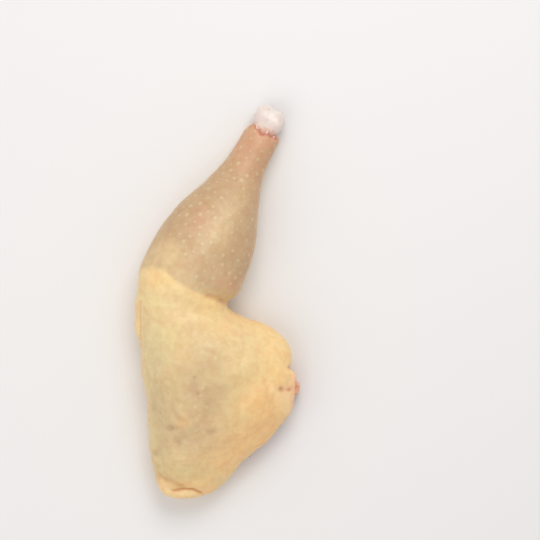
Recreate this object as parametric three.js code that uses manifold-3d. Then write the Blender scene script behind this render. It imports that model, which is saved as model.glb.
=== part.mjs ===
// A raw chicken leg quarter lying skin side up: the thigh with the strip of back that is cut off with it,
// the drumstick folded alongside, the split back bone in the cut and the bare joint at the shank's end.
// Millimetres, +Z up. Seen from above, +Y runs from the cut end of the thigh towards the shank.

import * as THREE from "three";
import { mergeVertices } from "three/addons/utils/BufferGeometryUtils.js";
import Module from "manifold-3d";

const wasm = await Module();
wasm.setup();
const { clamp, degToRad, lerp, smoothstep } = THREE.MathUtils;

// Driving dimensions
const SKIN_CELL = 3.2; // grid on which the skin-covered body is faceted
const BONE_CELL = 2; // grid for the bones
const SEAT_GAP = 0.35; // clearance between a bone and the flesh it sits in

// The thigh and back seen from above, clockwise from the outside of the knee
const THIGH_OUTLINE = [
  [-36.5, 6],
  [-42.2, -5],
  [-44.7, -14.5], // loose skin along the front of the thigh
  [-41.8, -24.5],
  [-40.8, -38],
  [-37.6, -57],
  [-37.3, -74],
  [-35.1, -87],
  [-33, -98.5], // rolled lip at the tail end
  [-27.3, -105.3],
  [-18.5, -106.7],
  [-7.5, -105.4],
  [5, -97.6],
  [14.5, -86.2],
  [27.5, -75.5],
  [40.2, -59.5], // along the cut through the back
  [42.2, -52.5],
  [42.6, -45.5],
  [43.6, -39.8],
  [39.7, -35.6],
  [40.8, -28.5],
  [37.8, -20.5],
  [30, -14.3],
  [8, -3.5],
  [-6, 6], // this point and the next lie in the drumstick
  [-26, 18],
];
const WAIST_HEIGHT = 14; // height of the widest outline above the board
const BELLY_DEPTH = 18; // half axis of the round under the outline; the board cuts it off flat
const BELLY_ROUND = 15; // how far in the round under the outline reaches
const CROWN_ROUND = 25; // how far in the round above the outline reaches
const FLAP_HEIGHT = 23; // height of the thin flap around the muscles
const THIGH_MASSES = [
  // muscle or bone that lifts the skin: centre, half spans, turn in degrees and lift
  { at: [-9, -24], span: [38, 33], turn: -30, lift: 20 }, // big muscle round the thigh bone
  { at: [-14, -62], span: [26, 30], turn: 8, lift: 10 }, // thin end of the thigh muscle
  { at: [24, -42], span: [21, 22], turn: 35, lift: 7.5 }, // round muscle over the hip blade
  { at: [14, -67], span: [21, 13], turn: 42, lift: 7 }, // meat beside the back bone
  { at: [-16, -92], span: [20, 12], turn: 0, lift: 3 }, // fat at the tail end
];

// The drumstick, by distance from the middle of the calf towards the joint
const CALF_AT = [-12, 17.5];
const SHANK_TURN = 26.4; // degrees that the shank leans from +Y towards +X
const DRUMSTICK_STATIONS = [
  // distance, half width, half height, height of the middle
  [-24, 22.2, 18, 19],
  [-12, 26.6, 21.5, 20.5],
  [0, 27.4, 23.5, 21.5],
  [12, 26.7, 23.3, 21],
  [23, 24.6, 21.8, 19.8],
  [35, 20.8, 19, 17.4],
  [47, 15.8, 15.4, 14.6],
  [58, 12, 12, 11.8],
  [70, 10.4, 10.6, 10.4],
  [80, 10.4, 10.2, 10.2],
];
const KNEE_ROUND = 17; // how far the knee reaches beyond the first station
const SKIN_END = 85; // where the skin is cut round the shank
const SHANK_CLOSE = 4; // roundness of that end

const KNEE_BLEND = 5; // the skin runs smoothly over the outside of the knee
const CROOK_BLEND = 6; // and folds sharply on the inside
const KNEE_TO_CROOK = [-30, 4]; // from one to the other across the leg
const UNEVEN = 0.45; // slow waves of soft meat

// Soft creases pressed into the skin from above: a route of points with the depth at each, and the half width
const CREASES = [
  // between thigh and calf
  { half: 4.5, route: [[16, -7, 4], [6, -1, 3.4], [-4, 6, 1.8], [-14, 11, 0]] },
  // from the hip to the tail end
  { half: 6, route: [[27, -30, 0], [10, -47, 0.8], [0, -57, 1.2], [-4, -69, 1], [-6, -80, 0]] },
  // inside the rolled lip
  { half: 2.6, route: [[-33, -94, 0.6], [-26, -100.4, 2.4], [-17, -101.4, 2.8], [-8, -102.6, 1]] },
  // inside the loose skin
  { half: 1.8, route: [[-41.6, -1, 0], [-41.6, -10, 1.2], [-40.8, -20, 0.4]] },
];
const CREASE_FADE = [5, 20]; // heights between which a crease comes in

// Shallow hollows on the meat side: centre, half spans, turn in degrees and depth
const HOLLOWS = [
  { at: [17, -58], span: [30, 15], turn: 50, depth: 6 }, // body cavity behind the back bone
  { at: [-24, -46], span: [9, 40], turn: -4, depth: 3 }, // seam between two thigh muscles
  { at: [-2, -4], span: [24, 7], turn: -30, depth: 4 }, // back of the knee
];
const BELLY_SPARE = 3; // how far the body is faceted below the board before it is cut flat

// The cut through the back: a flat face below the overhanging edge of the skin, with the split bones in it
const CUT_FROM = [43.6, -42];
const CUT_TO = [12, -92];
const CUT_FACE = 0.6; // how far outside that line the flesh is cut
const OVERHANG = { inner: 16, outer: 11, reach: 6.5 }; // height of the skin's underside at the face and out
const CUT_SPAN = [-14, 66]; // stretch of the line along which the flesh is cut
const BACK_BONE = {
  ends: [1.6, 47], // along the line
  sides: [-7.4, 4.9], // across it
  sawnTo: 1.3, // how far out the sawn face lies
  sawnFrom: 7, // where it starts; the end before that is broken off and stands out further
  heights: [1.8, 10.4],
  round: 3.4, // of its long edges
  knob: 0.7, // how far each vertebra stands out
  pitch: 8.6, // from one vertebra to the next
};

// The bare joint at the end of the shank: two knuckles side by side on the shaft
const JOINT = {
  at: 90.5, // distance along the drumstick
  half: 6.9, // half height of a knuckle, and half its length
  knuckle: 4.8, // half width of one
  apart: 3.9, // from the middle line to a knuckle's middle
  height: 9.2, // above the board
  shaft: 5.2, // radius of the shaft
  from: 72, // where the shaft starts in the flesh
  blend: 4, // softness of the groove
};

// Room in which each part is faceted: its lowest and highest corner
const BODY_ROOM = [[-50, -110, -BELLY_SPARE], [48, 100, 50]];
const BACK_ROOM = [[4, -94, -BELLY_SPARE], [52, -34, 12]];
const JOINT_ROOM = [[14, 70, 0], [42, 110, 18]];

// Splined closed outline as short straight segments
const OUTLINE_STEPS = 120;
const outline = new THREE.CatmullRomCurve3(
  THIGH_OUTLINE.map(([x, y]) => new THREE.Vector3(x, y, 0)),
  true,
).getSpacedPoints(OUTLINE_STEPS);

// How far a point lies inside the outline, negative outside. Summing the inverse fourth power of the
// distance along every segment lets the value level out smoothly in the middle of the outline, where the
// true distance has ridges. Points in one column of the grid share the value of the last call.
const NEAREST = 0.02;
const last = { x: NaN, y: NaN, inset: 0 };
function softInset(x, y) {
  if (last.x === x && last.y === y) return last.inset;
  let sum = 0;
  let inside = false;
  for (let i = 0; i < OUTLINE_STEPS; i++) {
    const a = outline[i];
    const b = outline[i + 1];
    const length = Math.hypot(b.x - a.x, b.y - a.y);
    const ux = (b.x - a.x) / length;
    const uy = (b.y - a.y) / length;
    const from = (a.x - x) * ux + (a.y - y) * uy;
    const off = Math.max(Math.abs((a.x - x) * uy - (a.y - y) * ux), NEAREST);
    const integral = (t) => t / (2 * off ** 2 * (off ** 2 + t ** 2)) + Math.atan(t / off) / (2 * off ** 3);
    sum += integral(from + length) - integral(from);
    const straddles = a.y > y !== b.y > y;
    if (straddles && x < a.x + ((y - a.y) / (b.y - a.y)) * (b.x - a.x)) inside = !inside;
  }
  const distance = Math.cbrt(Math.PI / 2 / sum);
  return Object.assign(last, { x, y, inset: inside ? distance : -distance }).inset;
}

// A smooth mound of height 1 over a turned ellipse
function mound({ at, span, turn }, x, y) {
  const c = Math.cos(degToRad(turn));
  const s = Math.sin(degToRad(turn));
  const u = ((x - at[0]) * c + (y - at[1]) * s) / span[0];
  const v = ((y - at[1]) * c - (x - at[0]) * s) / span[1];
  return Math.exp(-(u * u + v * v));
}

// How far a point is off a route seen from above, and the route's third value at the nearest place
function nearestOnRoute(route, x, y) {
  let best = { off: Infinity };
  for (let i = 1; i < route.length; i++) {
    const [from, to] = [route[i - 1], route[i]];
    const step = [to[0] - from[0], to[1] - from[1]];
    const ahead = (x - from[0]) * step[0] + (y - from[1]) * step[1];
    const t = clamp(ahead / (step[0] ** 2 + step[1] ** 2), 0, 1);
    const off = Math.hypot(x - from[0] - t * step[0], y - from[1] - t * step[1]);
    if (off < best.off) best = { off, value: lerp(from[2], to[2], t) };
  }
  return best;
}

// Distance along a line that starts at a point and runs along way, and distance to its right
function besideLine(start, way, x, y) {
  const [dx, dy] = [x - start[0], y - start[1]];
  return { along: dx * way[0] + dy * way[1], right: dx * way[1] - dy * way[0] };
}

const smoothMin = (a, b, blend) => {
  const h = Math.max(0, blend - Math.abs(a - b)) / blend;
  return Math.min(a, b) - (h * h * blend) / 4;
};

// The thigh: an ellipse round above the outline and another below it
function thighField(x, y, z) {
  const above = z > WAIST_HEIGHT;
  const round = above ? CROWN_ROUND : BELLY_ROUND;
  const crown = THIGH_MASSES.reduce((height, mass) => height + mass.lift * mound(mass, x, y), FLAP_HEIGHT);
  const reach = above ? crown - WAIST_HEIGHT : BELLY_DEPTH;
  const sideways = Math.max(0, 1 - softInset(x, y) / round);
  return (Math.hypot(sideways, (z - WAIST_HEIGHT) / reach) - 1) * round;
}

// Value of one column of the station table at a distance, smooth between stations
function station(column, distance) {
  const at = (k) => DRUMSTICK_STATIONS[clamp(k, 0, DRUMSTICK_STATIONS.length - 1)];
  const next = DRUMSTICK_STATIONS.findIndex((row) => row[0] > distance);
  if (next === 0) return at(0)[column];
  if (next < 0) return at(Infinity)[column];
  const i = next - 1;
  const span = at(next)[0] - at(i)[0];
  const t = (distance - at(i)[0]) / span;
  const slope = (k) => ((at(k + 1)[column] - at(k - 1)[column]) / (at(k + 1)[0] - at(k - 1)[0])) * span;
  return (
    at(i)[column] * (1 + 2 * t) * (1 - t) ** 2 +
    at(next)[column] * (3 - 2 * t) * t ** 2 +
    slope(i) * t * (1 - t) ** 2 -
    slope(next) * (1 - t) * t ** 2
  );
}

const shankWay = [Math.sin(degToRad(SHANK_TURN)), Math.cos(degToRad(SHANK_TURN))];

function drumstickField(x, y, z) {
  const { along, right } = besideLine(CALF_AT, shankWay, x, y);
  const first = DRUMSTICK_STATIONS[0][0];
  const [wide, high, middle] = [1, 2, 3].map((column) => station(column, along));
  const beforeKnee = Math.max(0, first - along) / KNEE_ROUND;
  const pastEnd = Math.max(0, along - SKIN_END + SHANK_CLOSE) / SHANK_CLOSE;
  return (Math.hypot(right / wide, (z - middle) / high, beforeKnee, pastEnd) - 1) * Math.min(wide, high);
}

function bodyField(x, y, z) {
  const blend = lerp(KNEE_BLEND, CROOK_BLEND, smoothstep(x, ...KNEE_TO_CROOK));
  let value = smoothMin(thighField(x, y, z), drumstickField(x, y, z), blend);
  value += UNEVEN * Math.sin(x / 6.1 + 1.3 * Math.sin(y / 9.7)) * Math.sin(y / 7.3 + z / 8);
  for (const { route, half } of CREASES) {
    const { off, value: depth } = nearestOnRoute(route, x, y);
    value += depth * Math.exp(-((off / half) ** 2)) * smoothstep(z, ...CREASE_FADE);
  }
  const hollow = HOLLOWS.reduce((sum, h) => sum + (h.depth + BELLY_SPARE) * mound(h, x, y), -BELLY_SPARE);
  return Math.max(value, hollow - z);
}

const cutLength = Math.hypot(CUT_TO[0] - CUT_FROM[0], CUT_TO[1] - CUT_FROM[1]);
const cutWay = [(CUT_TO[0] - CUT_FROM[0]) / cutLength, (CUT_TO[1] - CUT_FROM[1]) / cutLength];

// The split bones of the back: a rounded bar that swells at each vertebra, sawn flat afterwards
function backBoneField(x, y, z) {
  const { along, right } = besideLine(CUT_FROM, cutWay, x, y);
  const { ends, sides, heights, round, knob, pitch } = BACK_BONE;
  const beyond = (v, [low, high]) => Math.max(0, Math.abs(v - (low + high) / 2) - (high - low) / 2 + round);
  const swell = knob * Math.cos((along / pitch) * 2 * Math.PI);
  return Math.hypot(beyond(along, ends), beyond(-right, sides), beyond(z, heights)) - round - swell;
}

// The knuckles and the shaft
function jointField(x, y, z) {
  const { along, right } = besideLine(CALF_AT, shankWay, x, y);
  const rise = z - JOINT.height;
  const sideways = (Math.abs(right) - JOINT.apart) / JOINT.knuckle;
  const head = Math.hypot((along - JOINT.at) / JOINT.half, sideways, rise / JOINT.half) - 1;
  const shaft = Math.hypot(along - clamp(along, JOINT.from, JOINT.at), right, rise) - JOINT.shaft;
  return smoothMin(head * JOINT.knuckle, shaft, JOINT.blend);
}

// Grid place of corner n of a cell, whose three bits say on which side of the cell it is
const cornerOf = (i, j, k, n) => [i + (n & 1), j + ((n >> 1) & 1), k + (n >> 2)];
const CORNERS = [0, 1, 2, 3, 4, 5, 6, 7];
const AXIS_BITS = [1, 2, 4];

// Facets the surface where field is zero: one vertex in each grid cell that it crosses, then moved onto it
function facet(field, low, high, cell) {
  const margin = 2; // empty cells kept round the room
  const count = low.map((v, axis) => Math.ceil((high[axis] - v) / cell) + 2 * margin);
  const index = (i, j, k) => (k * count[1] + j) * count[0] + i;
  const place = (...at) => at.map((n, axis) => low[axis] + (n - margin) * cell);
  const eachCell = (from, visit) => {
    for (let i = from; i < count[0] - 1; i++)
      for (let j = from; j < count[1] - 1; j++) for (let k = from; k < count[2] - 1; k++) visit(i, j, k);
  };

  const values = new Float64Array(count[0] * count[1] * count[2]).fill(cell);
  eachCell(0, (i, j, k) => (values[index(i, j, k)] = field(...place(i, j, k))));

  // Where the corners of a grid face alternate, two sheets would touch. The shallower inner one is left out.
  let settled;
  do {
    settled = true;
    eachCell(0, (i, j, k) => {
      for (const [n, m] of [[1, 2], [1, 4], [2, 4]]) {
        const corners = [0, n, m, n + m].map((corner) => index(...cornerOf(i, j, k, corner)));
        const [a, b, c, d] = corners.map((corner) => values[corner] < 0);
        if (a !== d || b !== c || a === b) continue;
        const inner = corners.filter((corner) => values[corner] < 0);
        values[values[inner[0]] > values[inner[1]] ? inner[0] : inner[1]] = cell / 100;
        settled = false;
      }
    });
  } while (!settled);

  const vertexOf = new Int32Array(values.length).fill(-1);
  const positions = [];
  eachCell(0, (i, j, k) => {
    const crossings = [];
    for (const n of CORNERS)
      for (const bit of AXIS_BITS.filter((b) => !(n & b))) {
        const [from, to] = [cornerOf(i, j, k, n), cornerOf(i, j, k, n | bit)];
        const [a, b] = [values[index(...from)], values[index(...to)]];
        if (a < 0 === b < 0) continue;
        const [p, q] = [place(...from), place(...to)];
        crossings.push(p.map((v, axis) => lerp(v, q[axis], a / (a - b))));
      }
    if (!crossings.length) return;
    vertexOf[index(i, j, k)] = positions.length / 3;
    const mean = (axis) => crossings.reduce((sum, p) => sum + p[axis], 0) / crossings.length;
    positions.push(mean(0), mean(1), mean(2));
  });

  const nudge = cell / 20;
  for (let n = 0; n < positions.length; n += 3)
    for (let pass = 0; pass < 2; pass++) {
      const p = positions.slice(n, n + 3);
      const value = field(...p);
      const slope = p.map((v, axis) => (field(...p.with(axis, v + nudge)) - value) / nudge);
      const steep = slope.reduce((sum, s) => sum + s * s, 0);
      const step = steep ? clamp(value / steep, -cell / 3, cell / 3) : 0;
      slope.forEach((s, axis) => (positions[n + axis] -= step * s));
    }

  // A grid line that crosses the surface gives the square of the four cells round it
  const triangles = [];
  eachCell(1, (i, j, k) => {
    const inside = values[index(i, j, k)] < 0;
    const v = (di, dj, dk) => vertexOf[index(i - di, j - dj, k - dk)];
    const square = (ahead, a, b, c, d) => {
      if (inside === values[ahead] < 0) return;
      triangles.push(...(inside ? [a, b, c, a, c, d] : [a, c, b, a, d, c]));
    };
    square(index(i + 1, j, k), v(0, 1, 1), v(0, 0, 1), v(0, 0, 0), v(0, 1, 0));
    square(index(i, j + 1, k), v(1, 0, 1), v(1, 0, 0), v(0, 0, 0), v(0, 0, 1));
    square(index(i, j, k + 1), v(1, 1, 0), v(0, 1, 0), v(0, 0, 0), v(1, 0, 0));
  });
  return new THREE.BufferGeometry()
    .setAttribute("position", new THREE.Float32BufferAttribute(positions, 3))
    .setIndex(triangles);
}

// A closed three.js geometry as a solid that can be cut and joined
function solidOf(geometry) {
  const plain = new THREE.BufferGeometry().setAttribute("position", geometry.getAttribute("position"));
  plain.setIndex(geometry.index);
  const merged = mergeVertices(plain, 1e-4);
  return new wasm.Manifold(
    new wasm.Mesh({
      numProp: 3,
      vertProperties: merged.attributes.position.array,
      triVerts: new Uint32Array(merged.index.array),
    }),
  );
}

// A solid as a named mesh
function pieceOf(name, solid, material) {
  const { vertProperties, triVerts } = solid.getMesh();
  const geometry = new THREE.BufferGeometry()
    .setAttribute("position", new THREE.BufferAttribute(vertProperties, 3))
    .setIndex(new THREE.BufferAttribute(triVerts, 1));
  const mesh = new THREE.Mesh(geometry, material);
  mesh.name = name;
  return mesh;
}

// A prism along the cut through the back, from a profile of distances outwards and heights
function alongCut(profile, [from, to]) {
  const shape = new THREE.Shape(profile.map(([out, height]) => new THREE.Vector2(out, height)));
  const prism = new THREE.ExtrudeGeometry(shape, { depth: to - from, bevelEnabled: false });
  const way = new THREE.Vector3(...cutWay, 0);
  const outwards = new THREE.Vector3(-cutWay[1], cutWay[0], 0);
  const turned = new THREE.Matrix4().makeBasis(outwards, new THREE.Vector3(0, 0, 1), way);
  turned.setPosition(new THREE.Vector3(...CUT_FROM, 0).addScaledVector(way, from));
  return solidOf(prism.applyMatrix4(turned));
}

// Everything below the board
function underBoard() {
  const size = 400;
  return solidOf(new THREE.BoxGeometry(size, size, size).translate(0, 0, -size / 2));
}

// What the cut through the back takes off, up to the underside of the overhanging skin
function cutAway() {
  const { inner, outer, reach } = OVERHANG;
  const [floor, far] = [-2 * BELLY_SPARE, 24];
  const profile = [[0, floor], [0, inner], [reach, outer], [far, outer], [far, floor]];
  return alongCut(profile.map(([out, height]) => [out + CUT_FACE, height]), CUT_SPAN);
}

// What the saw takes off the back bone
function sawnOff() {
  const [out, far, low, high] = [BACK_BONE.sawnTo, 30, -10, 30];
  return alongCut([[out, low], [out, high], [far, high], [far, low]], [BACK_BONE.sawnFrom, CUT_SPAN[1]]);
}

// The seat of a bone in the flesh; below openFrom it runs on down through the meat side
function seatOf(field, room, openFrom = -Infinity) {
  const seat = (x, y, z) => Math.max(field(x, y, Math.max(z, openFrom)) - SEAT_GAP, -BELLY_SPARE - z);
  return solidOf(facet(seat, ...room, BONE_CELL));
}

const skin = new THREE.MeshStandardMaterial({ color: 0xe9cd97, roughness: 0.5, metalness: 0 });
const cutBone = new THREE.MeshStandardMaterial({ color: 0xd9958c, roughness: 0.45, metalness: 0 });
const cartilage = new THREE.MeshStandardMaterial({ color: 0xe6dcd2, roughness: 0.3, metalness: 0 });

const flesh = solidOf(facet(bodyField, ...BODY_ROOM, SKIN_CELL))
  .subtract(underBoard())
  .subtract(cutAway())
  .subtract(seatOf(backBoneField, BACK_ROOM, lerp(...BACK_BONE.heights, 0.5)))
  .subtract(seatOf(jointField, JOINT_ROOM));
const backBone = solidOf(facet(backBoneField, ...BACK_ROOM, BONE_CELL)).subtract(sawnOff());
const hockJoint = solidOf(facet(jointField, ...JOINT_ROOM, BONE_CELL));

const legQuarter = new THREE.Group();
legQuarter.add(
  pieceOf("leg_quarter", flesh, skin),
  pieceOf("back_bone", backBone, cutBone),
  pieceOf("hock_joint", hockJoint, cartilage),
);

// The origin lies on the board under the middle of the box
const box = new THREE.Box3().setFromObject(legQuarter);
const middle = box.getCenter(new THREE.Vector3());
legQuarter.position.set(-middle.x, -middle.y, -box.min.z);

export default legQuarter;
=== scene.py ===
"""The look of a raw chicken leg quarter that lies skin side up on a pale floor.

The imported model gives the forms. Each visible piece is made over its own solid: the flesh with its
skin, the feather follicles on it, lumps of fat under its overhang, the split back bone, the bare
joint, and the shreds of tendon and meat beside both. Places in the tables below are in the
millimetres of the model's own drawing: seen from above, +Y runs from the cut end of the thigh
towards the shank and +X towards the cut through the back.
"""

import math
import random
from typing import NamedTuple

import bmesh
import bpy
import numpy as np
from bpy.props import FloatProperty, FloatVectorProperty, IntProperty, PointerProperty
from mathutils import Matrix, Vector, noise
from mathutils.kdtree import KDTree


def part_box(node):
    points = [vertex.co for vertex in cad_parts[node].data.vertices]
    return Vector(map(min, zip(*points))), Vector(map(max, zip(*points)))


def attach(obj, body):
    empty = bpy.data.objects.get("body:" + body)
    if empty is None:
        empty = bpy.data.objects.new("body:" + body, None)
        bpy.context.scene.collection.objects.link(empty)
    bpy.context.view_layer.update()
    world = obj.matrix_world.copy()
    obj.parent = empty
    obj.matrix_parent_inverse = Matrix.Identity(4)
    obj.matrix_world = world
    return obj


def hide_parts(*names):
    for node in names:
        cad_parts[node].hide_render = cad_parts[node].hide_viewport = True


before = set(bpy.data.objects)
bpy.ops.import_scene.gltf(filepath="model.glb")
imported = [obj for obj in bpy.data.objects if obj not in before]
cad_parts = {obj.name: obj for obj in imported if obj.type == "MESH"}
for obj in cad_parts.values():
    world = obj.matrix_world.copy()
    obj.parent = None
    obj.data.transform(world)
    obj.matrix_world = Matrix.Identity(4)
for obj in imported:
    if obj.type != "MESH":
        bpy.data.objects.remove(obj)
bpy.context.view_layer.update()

bl_info = {
    "name": "Raw chicken leg quarter",
    "version": (1, 0, 0),
    "blender": (4, 5, 0),
    "location": "3D View > Sidebar > Leg quarter",
    "description": "Dresses the solids of a raw chicken leg quarter with skin, meat and bone",
    "category": "Object",
}

MM = 0.001  # one millimetre in the scene's metres

# Landmarks of the leg, seen from above
CALF = (-12, 17.5)  # middle of the calf
SHANK_WAY = (math.sin(math.radians(26.4)), math.cos(math.radians(26.4)))
SHANK_HEIGHT = 9.2
SKIN_END = 85  # distance from the calf at which the skin is cut round the shank
CUT_FROM = (43.6, -42)  # line of the cut through the back
CUT_TO = (12, -92)
CUT_SPAN = (-13, 65)  # stretch of that line along which the flesh is cut
FACE_TOP = 16.5  # height that the raw meat of the cut reaches
OVERHANG_FOOT = 9  # height above which the skin hangs over the cut
VERTEBRA_PITCH = 8.6
TORN_END = 7.2  # distance along the cut up to which the bone is broken, not sawn
CHANNEL_HEIGHT = 7.6  # of the spinal channel in the sawn face
KNEE_LINE = [  # where the thin skin of the drumstick meets the fat skin of the thigh
    (-60, 17),
    (-40.5, 18.4),
    (-36.2, 18.9),
    (-27.5, 17.7),
    (-23.2, 12.4),
    (-18.4, 8.6),
    (-9.2, 4.9),
    (6.5, -1.1),
    (20, -8.6),
    (45, -21.6),
]
PIXEL = 0.54  # what one pixel of the photograph spans on the leg
PHOTO_WIDTH = 540  # pixels
PHOTO_MIDDLE = (28.62, 17.28)  # place in the drawing under the middle of the photograph
HOCK_MIDDLE = (25.905, 92.005)  # middle of the hock joint in the drawing
low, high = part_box("hock_joint")
# Where the drawing's zero point lies in the model
ZERO = np.array([*((low + high).xy / 2 / MM - Vector(HOCK_MIDDLE)), 0])


class Fold(NamedTuple):
    """A crease in the skin: route, half width, depth, rise of the skin on its right, and painted
    shade deep in it.
    """

    route: list
    half: float
    depth: float
    roll: float = 0
    hollow_shade: float = 0


class Wrinkles(NamedTuple):
    """Fine creases over an oval patch: middle, half spans, turn in degrees, pitch and depth."""

    at: tuple
    span: tuple
    turn: float
    pitch: float
    depth: float


class Spot(NamedTuple):
    """A round or oval mark: middle, half spans, strength and turn in degrees."""

    at: tuple
    span: tuple
    strength: float
    turn: float = 0


def spots(*rows):
    """Spots from rows of x, y, both half spans, strength and, where it is turned, turn."""
    return [Spot(row[:2], row[2:4], *row[4:]) for row in rows]


FOLDS = [
    # the rolled lip at the tail end, the swell below it and the fold above it
    Fold([(-26, -100.2), (-23.3, -101.4), (-17.8, -100.8), (-13, -100.8), (-8.6, -102.6),
          (-6.4, -105)], 0.6, 0.62, 0, 0.85),
    Fold([(-31.5, -99), (-27, -102.4), (-18, -103.8), (-10.4, -103), (-6, -101.5)], 1.9, -0.8),
    Fold([(-33.5, -90.5), (-30.2, -94.5), (-24.3, -96.9), (-20, -99.1), (-15, -100)],
         1.4, 0.7, 0.3, 0.36),
    # the front edge, the knee line and the crook of the knee
    Fold([(-41, 4), (-41.2, -1.6), (-41.4, -12), (-41.2, -20.5), (-39.8, -27)], 0.5, 0.4, 0, 0.26),
    Fold([(-36, 18.5), (-27.5, 17.3), (-23.2, 12), (-18.4, 8.2), (-9.2, 4.6)], 1.6, 0.2, 0.25),
    Fold([(-9.2, 4.9), (-0.4, 1.9), (7.1, -1.9), (15.6, -7.1)], 1.5, 0.7, 0.2, 0.35),
    # the valley over the hip to the back
    Fold([(23.2, -34), (12.4, -45.4), (0, -56.7), (-2.7, -69.2)], 5, 0.3),
    # the tear, the ridge beside its flap and the creases beside that
    Fold([(31.6, -45.6), (33.6, -47.3), (35.6, -46.7), (38, -47.4), (40, -46.5), (42, -47.4)],
         0.8, 0.16),
    Fold([(29.4, -43), (31.2, -48.6), (33.3, -53.5), (34.8, -60)], 1.1, -0.6),
    Fold([(26.4, -46.5), (27, -49), (28.4, -54), (29, -57)], 0.8, 0.3, 0, 0.12),
    Fold([(24.6, -38.8), (26.2, -42.6), (27.7, -39.2)], 0.7, 0.22, 0, 0.1),
    # the pale edge along the lower front
    Fold([(-35.9, -57.6), (-35.6, -69.6), (-34, -83.6)], 1.6, 0.2, 0.15),
]

WRINKLES = [
    Wrinkles((-32.9, -53.6), (4.5, 9), -62, 1.9, 0.1),
    Wrinkles((-12, 0), (11, 4), 32, 2.6, 0.07),
    Wrinkles((-16.4, 10), (4, 4), 88, 1.5, 0.06),
    Wrinkles((14.6, -63.6), (11, 6), 86, 2.1, 0.05),
    Wrinkles((33, -62), (6, 9), 70, 1.9, 0.06),
    Wrinkles((32.6, -24), (8, 7), -48, 2.3, 0.06),
    Wrinkles((-20, -82), (14, 7), 12, 2.8, 0.07),
    Wrinkles((27.6, 66.4), (16, 12), -24, 2.7, 0.14),
]

# Depth of small hollows in the skin
DENTS = spots(
    (-24.7, -67.2, 3, 2.4, 0.35),
    (-2.7, -68.8, 3.4, 2.2, 0.45, 20),
    (-11.4, -40, 1.1, 0.9, 0.25),
    (-9.2, -48.6, 1, 1.1, 0.3),
    (2.1, -18.9, 1.3, 0.9, 0.2),
    (34.5, -46.7, 1.3, 1.2, 0.8),
    (38.6, -47.3, 1.2, 0.8, 0.6, 10),
    (40.8, -35.3, 2, 1.1, 1.4),  # the notch above the torn lobe
    (41.6, -46.4, 2, 2.6, -1),  # the torn edge stands out there
)

# Painted shade in small dents and the notch: the skin is drawn browner there
HOLLOW_SHADES = spots(
    (2.1, -18.9, 1.4, 0.8, 0.14),
    (34.5, -46.8, 1.5, 1.3, 0.34),
    (38.6, -47.3, 1.2, 0.9, 0.45, 10),
    (40.2, -35.2, 2, 1.2, 0.95),
)

# Colours of the thigh's skin, painted over one another in this order
ZONES = [
    ("olive", spots((-34, -26, 11, 20, 0.9), (-37, -72, 4, 22, 0.6, 5))),
    ("cream", spots((-26, -6, 15, 9, 0.2), (14, -18, 15, 9, 0.35, -20))),
    ("beige", spots((-8, -46, 18, 22, 0.8, -12), (-10, -72, 26, 18, 0.8),
        (-6, -25, 9, 12, 0.35, 20), (-16, -14, 5, 5, 0.3), (0, -60, 7, 12, 0.35, -10))),
    ("flap", spots((4, -14, 9, 6, 0.4, -20))),
    ("olive_dark", spots((-31, -62, 6, 26, 0.75, 4))),
    ("straw", spots((12, -51, 4.5, 20, 0.7, -33))),
    ("gold", spots((15, -6, 28, 7, 0.9, -27), (36, -34, 13, 20, 0.95), (-31, 12, 14, 6, 0.55, -8),
        (-44, -10, 3, 16, 0.8))),
    ("orange", spots((25, -53, 12, 10, 0.75))),
    ("amber", spots((25, -71, 28, 14, 0.88, 45), (10, -84, 14, 11, 0.5, 40))),
    ("olive", spots((-35.4, -71, 2.2, 15, 0.6, 4))),
    ("amber", spots((-17.8, -64.6, 5, 2.2, 0.4, 8), (-17.4, -60.4, 2, 2.6, 0.26, 10))),
    # painted shade: small dark spots in the dents and creases
    ("shade_spots", spots((-24.3, -67.2, 2.4, 1.7, 0.5), (-1.9, -68.9, 3, 1.7, 0.5, 15),
        (-32.9, -81.3, 1.8, 1.8, 0.35), (-34, -57.2, 1.6, 2, 0.3), (-9.7, -48.6, 1, 1.4, 0.42),
        (-20, -75, 1.8, 1.4, 0.3), (-11.3, -40, 1.2, 1, 0.38), (-31.9, -88.6, 1.6, 1.6, 0.3))),
    ("straw", spots((-22, -91.5, 15, 5.5, 0.6, 6))),
    ("flap", spots((-20, -104.2, 17, 2.6, 0.9, 3), (-30, -100, 4, 5, 0.7))),
    ("amber", spots((-16, -98.6, 12, 2.4, 0.55), (-4, -101, 6, 2.8, 0.6, 15))),
]

# Colours beside the tear, painted over those of the torn flap
TEAR_ZONES = [
    ("blush", spots((43, -41.5, 3, 4.5, 0.8))),
    ("flap", spots((31.6, -49.2, 6, 1.8, 0.95, -68.7))),
    ("blush", spots((38.5, -46.4, 6, 1.6, 0.75, 6), (41.4, -53, 1.6, 7, 0.8, -8))),
    ("raw", spots((43.2, -46.6, 1.5, 3.2, 0.75, -4))),
    # painted shade in the two holes of the tear
    ("shade_spots", spots((34.4, -46.7, 1.4, 1.3, 0.55), (38.6, -47.3, 1.1, 0.8, 0.35))),
]

# Colours of the drumstick's thin skin
CALF_ZONES = [
    ("cream", spots((-25, 26, 10, 9, 0.5), (-1, 38, 9, 14, 0.4, -26), (12, 56, 5, 13, 0.25, -26))),
    ("thin_pink", spots((9, 9, 9, 5, 0.6, -20), (-9, 44, 5, 9, 0.35, -40),
        (22, 30, 4, 14, 0.4, -8))),
]

# Corners of the torn flap, the tear first, and the widths over which it rises from its edges
FLAP = [(32, -46.6), (43.5, -48), (41, -61), (35.4, -61)]
FLAP_EDGES = (2.4, 1.4, 4, 1.6)

# Layers of the skin that the bumps on it take over
SKIN_LAYERS = {"tint": "FLOAT_COLOR", "meat": "FLOAT", "fat": "FLOAT", "hollow_shade": "FLOAT"}
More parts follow.
